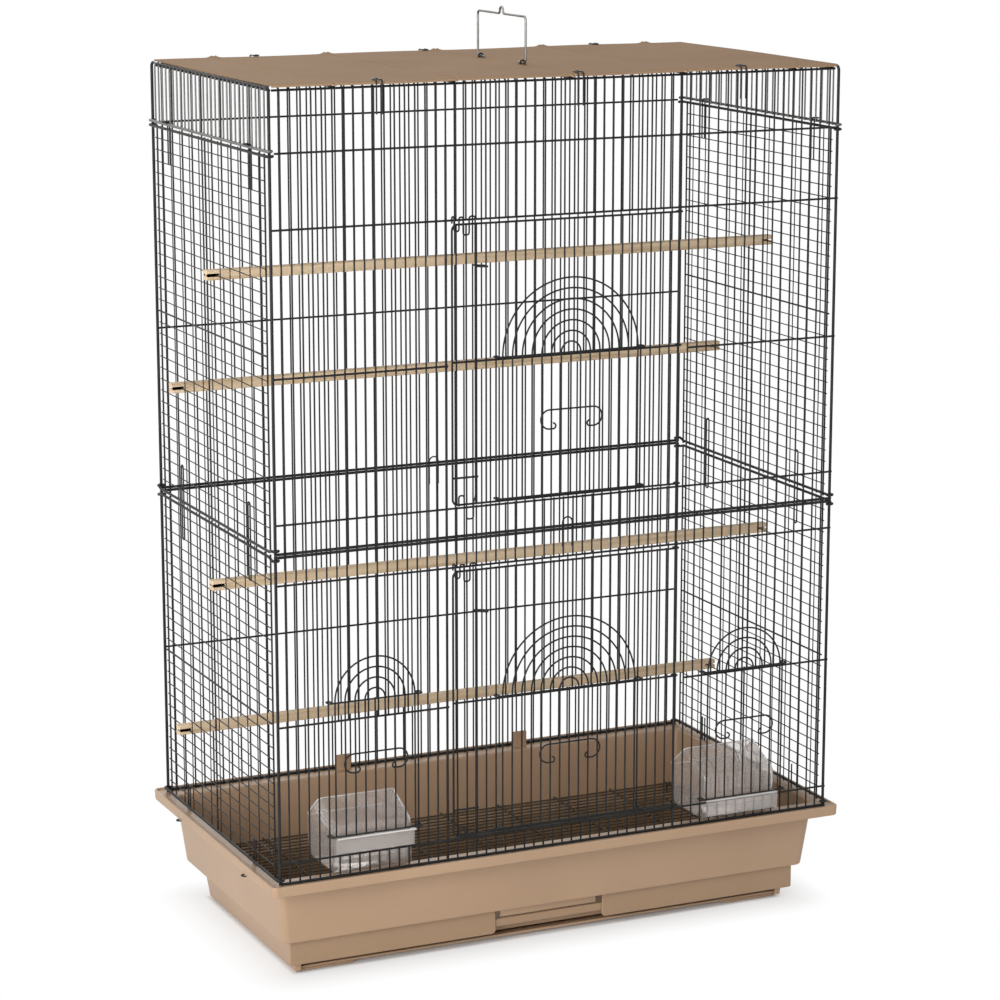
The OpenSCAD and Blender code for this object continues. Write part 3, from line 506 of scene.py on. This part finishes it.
def drawer_tub_shapes():
    """Lip, shelf, step and bottom across the width, the wall round sides and back, and its front ends."""
    wall_back = DRAWER_FRONT + DRAWER_WALL
    shelf_top = SHELF_Z + DRAWER_WALL
    shapes = [across_drawer(FACE_BACK - DRAWER_SUNK, FACE_BACK + DRAWER_WALL, SHELF_Z, SHELF_LIP, 0.7),
              across_drawer(FACE_BACK, wall_back, SHELF_Z, shelf_top),
              across_drawer(DRAWER_FRONT, wall_back, DRAWER_FOOT, shelf_top),
              across_drawer(DRAWER_FRONT, DRAWER_BACK, DRAWER_FOOT, DRAWER_FOOT + DRAWER_WALL)]
    path = eased([(-DRAWER_HALF, DRAWER_FRONT), (-DRAWER_HALF, DRAWER_BACK), (DRAWER_HALF, DRAWER_BACK),
                  (DRAWER_HALF, DRAWER_FRONT)], 2.0)
    wall_foot = DRAWER_FOOT + DRAWER_SUNK
    wall = eased([(0.0, wall_foot), (DRAWER_WALL, wall_foot), (DRAWER_WALL, DRAWER_TOP), (0.0, DRAWER_TOP)],
                 0.6, True, 3)
    shapes.append(sweep(path, wall))
    for side in (-1, 1):
        near, far = sorted((side * DRAWER_HALF, side * (DRAWER_HALF - DRAWER_WALL)))
        low = (near, FACE_BACK - DRAWER_SUNK, SHELF_Z)
        high = (far, DRAWER_FRONT + 1.0, DRAWER_TOP)
        shapes.append(block(low, high, 0.5))
    return shapes


drawer_shapes = drawer_front_shapes() + drawer_tub_shapes()
piece("litter_drawer", drawer_shapes, TAN_DRAWER_PAINTED_SHADE, "litter_drawer", ("drawer",))


# Roof sheet: creased over the wires that run under it front to back, puckered at the back edge

sheet_low, sheet_high = box_mm("roof_sheet")
SHEET_T = 1.6
SHEET_LEVEL = sheet_high[2] - 0.5
SHEET_COLUMNS = 90
SHEET_ROWS = 60
CREASES = np.array([-250.0, -120.0, 10.0, 140.0, 270.0])
CREASE_REACH = 9.0
GROOVE_WIDTH = 1.4
GROOVE_DEEP = 1.3
SHOULDER_WIDTH = 5.0
SHOULDER_RISE = 0.5
PUCKER_REACH = 7.0
PUCKER_RISE = 2.2
SAG = 0.35
SAG_ALONG = 38.0
SAG_ACROSS = 60.0
# hem turned down along the front: depth from the CAD sheet's edge, drop, thickness, inset of the underside
HEM = np.array([(-2.1, 2.8, 0.0, 0.2), (-2.1, 2.2, 0.1, 0.2), (-2.05, 1.5, 0.3, 0.2), (-1.8, 0.8, 0.7, 0.15),
                (-1.2, 0.3, 1.2, 0.1), (-0.4, 0.05, 1.5, 0.0)])


def roof_cover_shape():
    """Upper and under side of the sheet over its width and depth, joined round the edges.

    The height is level plus a sag, sine along by cosine across, and bell curves of the distance to a crease:
    a broad shoulder, less a narrow groove, plus a pucker that fades with the distance to the back edge.
    """
    near = (CREASES[:, None] + np.linspace(-CREASE_REACH, CREASE_REACH, 19)).ravel()
    x = np.unique(np.concatenate([np.linspace(sheet_low[0], sheet_high[0], SHEET_COLUMNS), near]))
    depth = np.linspace(0.4, sheet_high[1] - sheet_low[1], SHEET_ROWS)
    level = np.stack([depth, np.zeros(SHEET_ROWS), np.full(SHEET_ROWS, SHEET_T), np.zeros(SHEET_ROWS)], -1)
    behind, drop, thick, inset = np.concatenate([HEM, level]).T
    along, across = np.meshgrid(x, sheet_low[1] + behind, indexing="ij")
    offset = along[..., None] - CREASES
    groove = np.exp(-(offset / GROOVE_WIDTH) ** 2).sum(-1)
    shoulder = np.exp(-(offset / SHOULDER_WIDTH) ** 2).sum(-1)
    pucker = shoulder * np.exp(-((across - sheet_high[1]) / PUCKER_REACH) ** 2)
    sag = SAG * np.sin(along / SAG_ALONG) * np.cos(across / SAG_ACROSS)
    folds = SHOULDER_RISE * shoulder - GROOVE_DEEP * groove + PUCKER_RISE * pucker
    top = SHEET_LEVEL + sag + folds - drop
    upper = np.stack([along, across, top], -1)
    under = np.stack([along, across + inset, top - thick], -1)
    return shell(np.concatenate([upper, under[:, ::-1]], 1))


piece("roof_cover", [roof_cover_shape()], TAN_SHEET, "cage", ("roof_sheet",), 60.0)


# Corner posts and side panels: heavy posts, and mesh whose borders splay at the seam and hook round the posts

HALF_W = 320.0
HALF_D = 175.0
BAR_R = 0.9
CROSS_R = 1.0
BORDER_R = 1.5
MESH_R = 0.62
POST_R = 1.6
WELD = 0.05
POST_IN = 0.4
POST_X = HALF_W - POST_IN
POST_Y = HALF_D - POST_IN
POST_FOOT = 114.2
# half the gap between the lower and the upper post
POST_GAP = 0.5
# the front and back borders lie outside the bars; from here to the posts their ends are made with the posts
FRONT_BORDER = BAR_R + BORDER_R + WELD
FRONT_BORDER_END = 314.0
LOOP_R = POST_R + BORDER_R + WELD
BORDER_X = POST_X + LOOP_R
MESH_GAPS = 12
MESH_PITCH = 2 * HALF_D / MESH_GAPS
ROW_X = HALF_W + 2 * MESH_R + WELD
EDGE_IN = 14.0
EDGE_Y = HALF_D - EDGE_IN
# heavier uprights: one at each edge and one beside the middle
HEAVY_X = HALF_W - CROSS_R + MESH_R
HEAVY_Y = (-EDGE_Y, MESH_PITCH / 2 - 3.0, EDGE_Y)
LOW_FOOT = 119.1
LOW_GAPS = 27
LOW_HEAVY_ROW = 13
HIGH_GAPS = 32
HIGH_HEAVY_ROW = 16
SEAM_Z = 459.5
SEAM_HALF = 1.65
SIDE_HALF = 2.8
HOOD_Z = 861.0
HIGH_TOP = HOOD_Z - FRONT_BORDER
ROOF_Z = 925.0
ROOF_BEND = 5.0
SPLAY = 2.2
SPLAY_RUN = 10.0


def border_path(height, splay):
    """Along the side, easing up or down near the ends, then half a turn round the post at each end."""
    end = np.linspace(POST_Y - SPLAY_RUN, POST_Y, 9)
    y = np.concatenate([-end[::-1], end])
    t = np.clip((np.abs(y) - POST_Y + SPLAY_RUN) / SPLAY_RUN, 0.0, 1.0)
    run = np.stack([np.full(len(y), BORDER_X), y, height + splay * t * t * (3 - 2 * t)], -1)
    turn = np.linspace(0.0, math.pi, 13)[1:]
    hook = np.stack([POST_X + LOOP_R * np.cos(turn), POST_Y + LOOP_R * np.sin(turn),
                     np.full(len(turn), height + splay)], -1)
    return np.concatenate([hook[::-1] * (1.0, -1.0, 1.0), run, hook])


def side_panel(low, high, row_heights, heavy_row, low_splay, high_splay):
    """Wires of a right side panel: two borders, level wires and upright wires, a few of them heavier."""
    wires = [tube(border_path(low, low_splay), BORDER_R, UP),
             tube(border_path(high, high_splay), BORDER_R, UP)]
    for row, z in enumerate(row_heights, 1):
        thick = CROSS_R if row == heavy_row else MESH_R
        x = ROW_X + thick - MESH_R
        wires.append(tube([(x, -EDGE_Y - MESH_R, z), (x, EDGE_Y + MESH_R, z)], thick, UP, 8))
    uprights = [(HALF_W, k * MESH_PITCH, MESH_R) for k in range(1 - MESH_GAPS // 2, MESH_GAPS // 2)]
    uprights += [(HEAVY_X, y, CROSS_R) for y in HEAVY_Y]
    for x, y, thick in uprights:
        wires.append(tube([(x, y, low - BORDER_R), (x, y, high + BORDER_R)], thick, ACROSS, 8))
    return wires


def between(low, high, gaps):
    """Heights that part the stretch from low to high into equal gaps, without its ends."""
    return low + np.arange(1, gaps) * (high - low) / gaps


def corner_wires():
    """Right-hand posts, the upper ones bent a quarter turn under the roof, and ends of the seam borders."""
    bend = np.linspace(0.0, math.pi / 2, 7)
    wires = []
    for end in (-1, 1):
        y = end * POST_Y
        over = np.stack([np.full(len(bend), POST_X), end * (POST_Y - ROOF_BEND + ROOF_BEND * np.cos(bend)),
                         ROOF_Z - ROOF_BEND + ROOF_BEND * np.sin(bend)], -1)
        wires.append(tube([(POST_X, y, POST_FOOT), (POST_X, y, SEAM_Z - POST_GAP)], POST_R, ACROSS))
        wires.append(tube(np.concatenate([[(POST_X, y, SEAM_Z + POST_GAP)], over]), POST_R, ACROSS))
        border_y = end * (HALF_D + FRONT_BORDER)
        for z in (SEAM_Z - SEAM_HALF, SEAM_Z + SEAM_HALF):
            wires.append(tube([(FRONT_BORDER_END, border_y, z), (POST_X, border_y, z)], BORDER_R, UP))
    return wires


def facing(shapes, side):
    """The shapes of the right side, or their mirror image on the left."""
    return [(points * (side, 1.0, 1.0), quads, ends) for points, quads, ends in shapes]


lower_panel = side_panel(LOW_FOOT, SEAM_Z - SIDE_HALF, between(LOW_FOOT, SEAM_Z - SEAM_HALF, LOW_GAPS),
                         LOW_HEAVY_ROW, 0.0, -SPLAY)
upper_panel = side_panel(SEAM_Z + SIDE_HALF, HIGH_TOP, between(SEAM_Z + SEAM_HALF, HIGH_TOP, HIGH_GAPS),
                         HIGH_HEAVY_ROW, SPLAY, 0.0)
posts = facing(corner_wires(), 1) + facing(corner_wires(), -1)
piece("corner_posts", posts, BLACK, "cage")
for side, label in ((-1, "left"), (1, "right")):
    piece(label + "_lower_mesh", facing(lower_panel, side), BLACK, "cage", (label + "_lower_side",))
    piece(label + "_upper_mesh", facing(upper_panel, side), BLACK, "cage", (label + "_upper_side",))


# Catches: one wire folded to and fro at both ends, hooked over the cross wire, with a thumb loop in front

CATCH_X = -102.31
CATCH_Y = -179.8
CATCH_R = 0.9
CATCH_LEFT = -23.2
HOOK_Y = -174.3
THUMB_DROP = 46.0
# nearly front to back, so that the folds don't twist, and yet no direction that the hook takes
CATCH_ACROSS = (0.02, 1.0, 0.03)
# the door frame's foot lies this far over the catch's
DOOR_FOOT_RISE = 14.9
# cross wire over each door
OVER_DOOR = {"upper": 786.0, "lower": 428.5}


def catch_shapes(over, foot):
    """A wire of straight stretches with eased bends, from the hook at the back to the foot, and a thumb loop.

    Its points are (across, height) from the catch's long stretch, in the folds' order.
    """
    top = over + 3.6
    flat = np.array([(CATCH_LEFT, top), (CATCH_LEFT, over - 11.0), (-17.8, over - 11.0), (-17.8, over + 3.2),
                     (-13.2, over + 3.2), (-13.2, over - 15.0), (-6.6, over - 15.0), (-6.6, top), (0.0, top),
                     (0.0, foot + 8.0), (-2.5, foot + 2.0), (-2.5, foot - 15.0), (-10.1, foot - 15.0),
                     (-10.1, foot + 1.0), (-12.8, foot + 1.0), (-12.8, foot + 10.0), (-18.8, foot + 10.0),
                     (-18.8, foot - 1.0)])
    folds = np.stack([CATCH_X + flat[:, 0], np.full(len(flat), CATCH_Y), flat[:, 1]], -1)
    hook = [(CATCH_X + CATCH_LEFT, HOOK_Y, over - 3.5), (CATCH_X + CATCH_LEFT, HOOK_Y, top)]
    thumb = np.array([(-4.0, -181.6), (1.0, -181.7), (8.5, -184.0), (9.0, -192.0), (0.2, -183.4)])
    thumb_z = np.linspace(0.5, -1.0, len(thumb))[:, None] + over - THUMB_DROP
    loop = np.concatenate([thumb + (CATCH_X, 0.0), thumb_z], -1)
    wire = eased(np.concatenate([hook, folds]), 2.8, steps=7)
    return [tube(wire, CATCH_R, CATCH_ACROSS), tube(eased(loop, 2.5), CATCH_R, UP)]


for label, over_door in OVER_DOOR.items():
    door_foot = box_mm(label + "_door_latch")[0][2] + DOOR_FOOT_RISE
    piece(label + "_catch", catch_shapes(over_door, door_foot), BLACK, label + "_latch",
          (label + "_door_latch",))


# Perches: square wooden bars whose ends are slotted for the mesh wires

SLOT_WIDE = 1.7
SLOT_DEEP = 12.8


def perch_shape(low, high):
    """The outline of bar and slots seen from the front, made a plate as deep as the bar."""
    middle = (low[2] + high[2]) / 2
    end = high[0]
    slot = end - SLOT_DEEP
    lower_lip = middle - SLOT_WIDE / 2
    upper_lip = middle + SLOT_WIDE / 2
    right = np.array([(end, low[2]), (end, lower_lip), (slot, lower_lip), (slot, upper_lip), (end, upper_lip),
                      (end, high[2])])
    left = mirrored(right)
    outline = np.concatenate([left[-1:], right, left[:-1]])
    return plate(eased(outline, 0.6, True, 3), low[1], high[1], 0.8)


for perch in ("upper_front_perch", "upper_back_perch", "lower_front_perch", "lower_back_perch"):
    bar = perch_shape(*box_mm(perch))
    piece(perch.replace("perch", "wood_perch"), [bar], WOOD, "cage", (perch,))


# Clear cups: rings level with the slanted mouth, deeper and deeper into the cup

# section of the front and of the back from the mouth down, as depth from the front and height
CUP_FRONT = np.array([(44.0, 71.0), (3.0, 53.0), (0.0, 49.0), (0.0, 12.0), (0.8, 6.0), (3.4, 2.6)])
CUP_BACK = np.array([(80.0, 42.6), (77.4, 12.0), (75.0, 5.0), (70.0, 1.0), (62.0, 0.0), (12.0, 0.0),
                     (6.0, 0.8), (3.6, 2.4)])
CUP_DEEP = 80.0
CUP_HIGH = 71.0
CUP_HALF = 44.0
CUP_WALL = 1.6
CUP_CORNER = 6.0
MOUTH_BEAD_R = 1.0
LIP_BEAD_R = 0.9
LIP_BEAD_IN = 0.7
LIP_BEAD_END = 0.3
LIP_SOFT = 0.6
# how far the lip is sunk into the front of its cup
LIP_SUNK = 1.0
# for each cup: top of its front lip, top and foot of the lip's skirt, and how far back the skirt stands
CUP_LIPS = {"left_cup": (157.0, 156.0, 138.4, 4.8), "right_cup": (140.0, 139.4, 121.4, 0.0)}


def cup_shapes(middle, front, bottom):
    """The cup's wall and the bead round its mouth.

    Rings parallel to the mouth, closer near the bottom, run from the deepest one up the outside and, a wall
    further in, back down the inside. A ring's ends are where its level meets the section's front and back.
    """
    tip = CUP_FRONT[0]
    slant = (CUP_BACK[0] - tip) / np.linalg.norm(CUP_BACK[0] - tip)
    inward = np.array([slant[1], -slant[0]])
    front_level = (CUP_FRONT - tip) @ inward
    back_level = (CUP_BACK - tip) @ inward

    def ring_rows(levels, inset):
        """Rows for rings at these levels, set in from the outside."""
        near_side = np.interp(levels, front_level, (CUP_FRONT - tip) @ slant) + inset
        far_side = np.interp(levels, back_level, (CUP_BACK - tip) @ slant) - inset
        corner = np.minimum(CUP_CORNER - inset, (far_side - near_side) * 0.45)
        return np.stack([np.full(len(levels), CUP_HALF - inset), near_side, far_side, levels, corner], -1)

    deepest = front_level.max() - 0.4
    levels = np.concatenate([np.linspace(deepest, deepest - 12.0, 9), np.linspace(deepest - 14.0, 0.0, 24)])
    inside = levels[:5:-1]
    mouth = levels[-1:]
    grid = rings(np.concatenate([ring_rows(levels, 0.0), ring_rows(inside, CUP_WALL),
                                 ring_rows(mouth, CUP_WALL / 2)]))
    section = grid[..., 1:2] * slant + grid[..., 2:] * inward + tip
    grid = np.concatenate([grid[..., :1] + middle, section + (front, bottom)], -1)
    rim = np.concatenate([grid[-1], grid[-1, :1]])
    return shell(grid[:-1]), tube(rim, MOUTH_BEAD_R, (0.0, inward[0], inward[1]), 8)


def lip_shapes(low, high, front, top, skirt_top, skirt_foot, skirt_in):
    """The level lip in front of a cup and the skirt that hangs from it, then the bead along the lip."""
    skirt = low[1] + skirt_in
    plates = [block((low[0], low[1], top - CUP_WALL), (high[0], front + LIP_SUNK, top), LIP_SOFT),
              block((low[0], skirt, skirt_foot), (high[0], skirt + CUP_WALL, skirt_top), LIP_SOFT)]
    y = low[1] + LIP_BEAD_IN
    z = top - LIP_BEAD_IN
    ends = [(low[0] + LIP_BEAD_END, y, z), (high[0] - LIP_BEAD_END, y, z)]
    return plates, tube(ends, LIP_BEAD_R, UP, 8)


for cup, lip in CUP_LIPS.items():
    cup_low, cup_high = box_mm(cup)
    cup_front = cup_high[1] - CUP_DEEP
    cup_wall, mouth_bead = cup_shapes((cup_low[0] + cup_high[0]) / 2, cup_front, cup_high[2] - CUP_HIGH)
    lip_plates, lip_bead = lip_shapes(cup_low, cup_high, cup_front, *lip)
    piece(cup.replace("cup", "seed_cup"), [cup_wall] + lip_plates, CLEAR, "cage", (cup,))
    piece(cup.replace("cup", "cup_edge"), [mouth_bead, lip_bead], CUP_EDGE_PAINTED_HIGHLIGHT, "cage")


# Stage, light and camera, in metres

WHITE = (1.0, 1.0, 1.0, 1.0)
STAGE_HALF = 40.0
STAGE_Z = -0.0005
# half width and half depth of the floor strip under the base, and how far its shadow is kept round it
SHADOW_CORE = (0.288, 0.131, 0.0)
SHADOW_REACH = 0.06
CAMERA_PLACE = (-1.4211, -3.0902, 1.1926)
CAMERA_AZIMUTH = math.radians(24.824)
CAMERA_DOWN = math.radians(12.265)
SENSOR = 36.0
LENS_PER_SENSOR = 3.19783


def seen_ray(tree):
    """1 for a camera, glossy or transmission ray and 0 for light on its way to the object."""
    path = tree.nodes.new("ShaderNodeLightPath")
    first = tree.nodes.new("ShaderNodeMath")
    first.operation = "MAXIMUM"
    second = tree.nodes.new("ShaderNodeMath")
    second.operation = "MAXIMUM"
    tree.links.new(path.outputs["Is Camera Ray"], first.inputs[0])
    tree.links.new(path.outputs["Is Glossy Ray"], first.inputs[1])
    tree.links.new(first.outputs[0], second.inputs[0])
    tree.links.new(path.outputs["Is Transmission Ray"], second.inputs[1])
    return second.outputs[0]


def mix_shaders(tree, factor, plain, seen, output):
    """The plain shader where the factor is 0 and the seen one where it is 1, linked to the output."""
    mix = tree.nodes.new("ShaderNodeMixShader")
    tree.links.new(factor, mix.inputs["Fac"])
    tree.links.new(plain.outputs[0], mix.inputs[1])
    tree.links.new(seen.outputs[0], mix.inputs[2])
    tree.links.new(mix.outputs[0], tree.nodes[output].inputs["Surface"])


def studio_world(strength):
    """White where it is seen, and an even soft light on the object."""
    world = bpy.data.worlds.new("studio")
    bpy.context.scene.world = world
    world.use_nodes = True
    tree = world.node_tree
    ambient = tree.nodes["Background"]
    ambient.inputs["Color"].default_value = WHITE
    ambient.inputs["Strength"].default_value = strength
    seen = tree.nodes.new("ShaderNodeBackground")
    seen.inputs["Color"].default_value = WHITE
    seen.inputs["Strength"].default_value = 1.0
    mix_shaders(tree, seen_ray(tree), ambient, seen, "World Output")


def distance_from_core(tree):
    """Distance on the floor from the strip under the base: how far a place lies past its half sizes."""
    coord = tree.nodes.new("ShaderNodeTexCoord")
    vector = coord.outputs["Object"]
    for operation, operand in (("ABSOLUTE", None), ("SUBTRACT", SHADOW_CORE), ("MAXIMUM", (0.0, 0.0, 0.0))):
        step = tree.nodes.new("ShaderNodeVectorMath")
        step.operation = operation
        tree.links.new(vector, step.inputs[0])
        if operand:
            step.inputs[1].default_value = operand
        vector = step.outputs["Vector"]
    length = tree.nodes.new("ShaderNodeVectorMath")
    length.operation = "LENGTH"
    tree.links.new(vector, length.inputs[0])
    return length.outputs["Value"]


def floor_material():
    """Pale and matt with the shadow near the base, turning to plain white further off where it is seen."""
    mat, tree, shader = new_material("studio_floor")
    shader.inputs["Base Color"].default_value = (0.9, 0.9, 0.9, 1.0)
    shader.inputs["Roughness"].default_value = 0.9
    shader.inputs["Specular IOR Level"].default_value = 0.0
    reach = tree.nodes.new("ShaderNodeMapRange")
    reach.inputs["From Max"].default_value = SHADOW_REACH
    tree.links.new(distance_from_core(tree), reach.inputs["Value"])
    fade = ramp(tree, reach.outputs["Result"],
                [(0.0, (0.0, 0.0, 0.0)), (0.1, (0.55, 0.55, 0.55)), (1.0, (1.0, 1.0, 1.0))])
    white = tree.nodes.new("ShaderNodeMath")
    white.operation = "MULTIPLY"
    tree.links.new(seen_ray(tree), white.inputs[0])
    tree.links.new(fade, white.inputs[1])
    glow = tree.nodes.new("ShaderNodeEmission")
    glow.inputs["Color"].default_value = WHITE
    glow.inputs["Strength"].default_value = 1.0
    mix_shaders(tree, white.outputs[0], shader, glow, "Material Output")
    return mat


def studio_floor():
    """One wide level face just under the feet."""
    mesh = bpy.data.meshes.new("studio_floor")
    corners = [(x * STAGE_HALF, y * STAGE_HALF, STAGE_Z) for x, y in ((-1, -1), (1, -1), (1, 1), (-1, 1))]
    mesh.from_pydata(corners, [], [(0, 1, 2, 3)])
    mesh.materials.append(floor_material())
    obj = bpy.data.objects.new("studio_floor", mesh)
    bpy.context.collection.objects.link(obj)


def area_light(name, place, target, size, power):
    """A square soft box at place, turned to target."""
    data = bpy.data.lights.new(name, "AREA")
    data.size = size
    data.energy = power
    lamp = bpy.data.objects.new(name, data)
    lamp.location = place
    lamp.rotation_euler = (Vector(target) - Vector(place)).to_track_quat("-Z", "Y").to_euler()
    bpy.context.collection.objects.link(lamp)


def photo_camera():
    """A camera at the photograph's place, looking along its azimuth and down."""
    data = bpy.data.cameras.new("photo_camera")
    data.sensor_width = SENSOR
    data.lens = SENSOR * LENS_PER_SENSOR
    camera = bpy.data.objects.new("photo_camera", data)
    camera.location = CAMERA_PLACE
    sight = Vector((math.sin(CAMERA_AZIMUTH) * math.cos(CAMERA_DOWN),
                    math.cos(CAMERA_AZIMUTH) * math.cos(CAMERA_DOWN),
                    -math.sin(CAMERA_DOWN)))
    camera.rotation_euler = sight.to_track_quat("-Z", "Y").to_euler()
    bpy.context.collection.objects.link(camera)
    bpy.context.scene.camera = camera


studio_world(0.42)
studio_floor()
area_light("key_box", (-2.0, -1.5, 0.85), (0.0, 0.0, 0.35), 1.5, 50.0)
area_light("front_box", (-1.0, -4.2, 1.3), (0.0, 0.0, 0.4), 3.0, 15.0)
area_light("fill_box", (3.0, -2.0, 1.5), (0.0, 0.0, 0.4), 2.2, 7.0)
area_light("back_box", (0.5, 3.4, 1.6), (0.0, 0.0, 0.5), 2.2, 20.0)
area_light("top_box", (-0.9, 0.0, 3.0), (0.0, 0.0, 0.5), 1.8, 20.0)
photo_camera()
bpy.context.scene.view_settings.view_transform = "Standard"
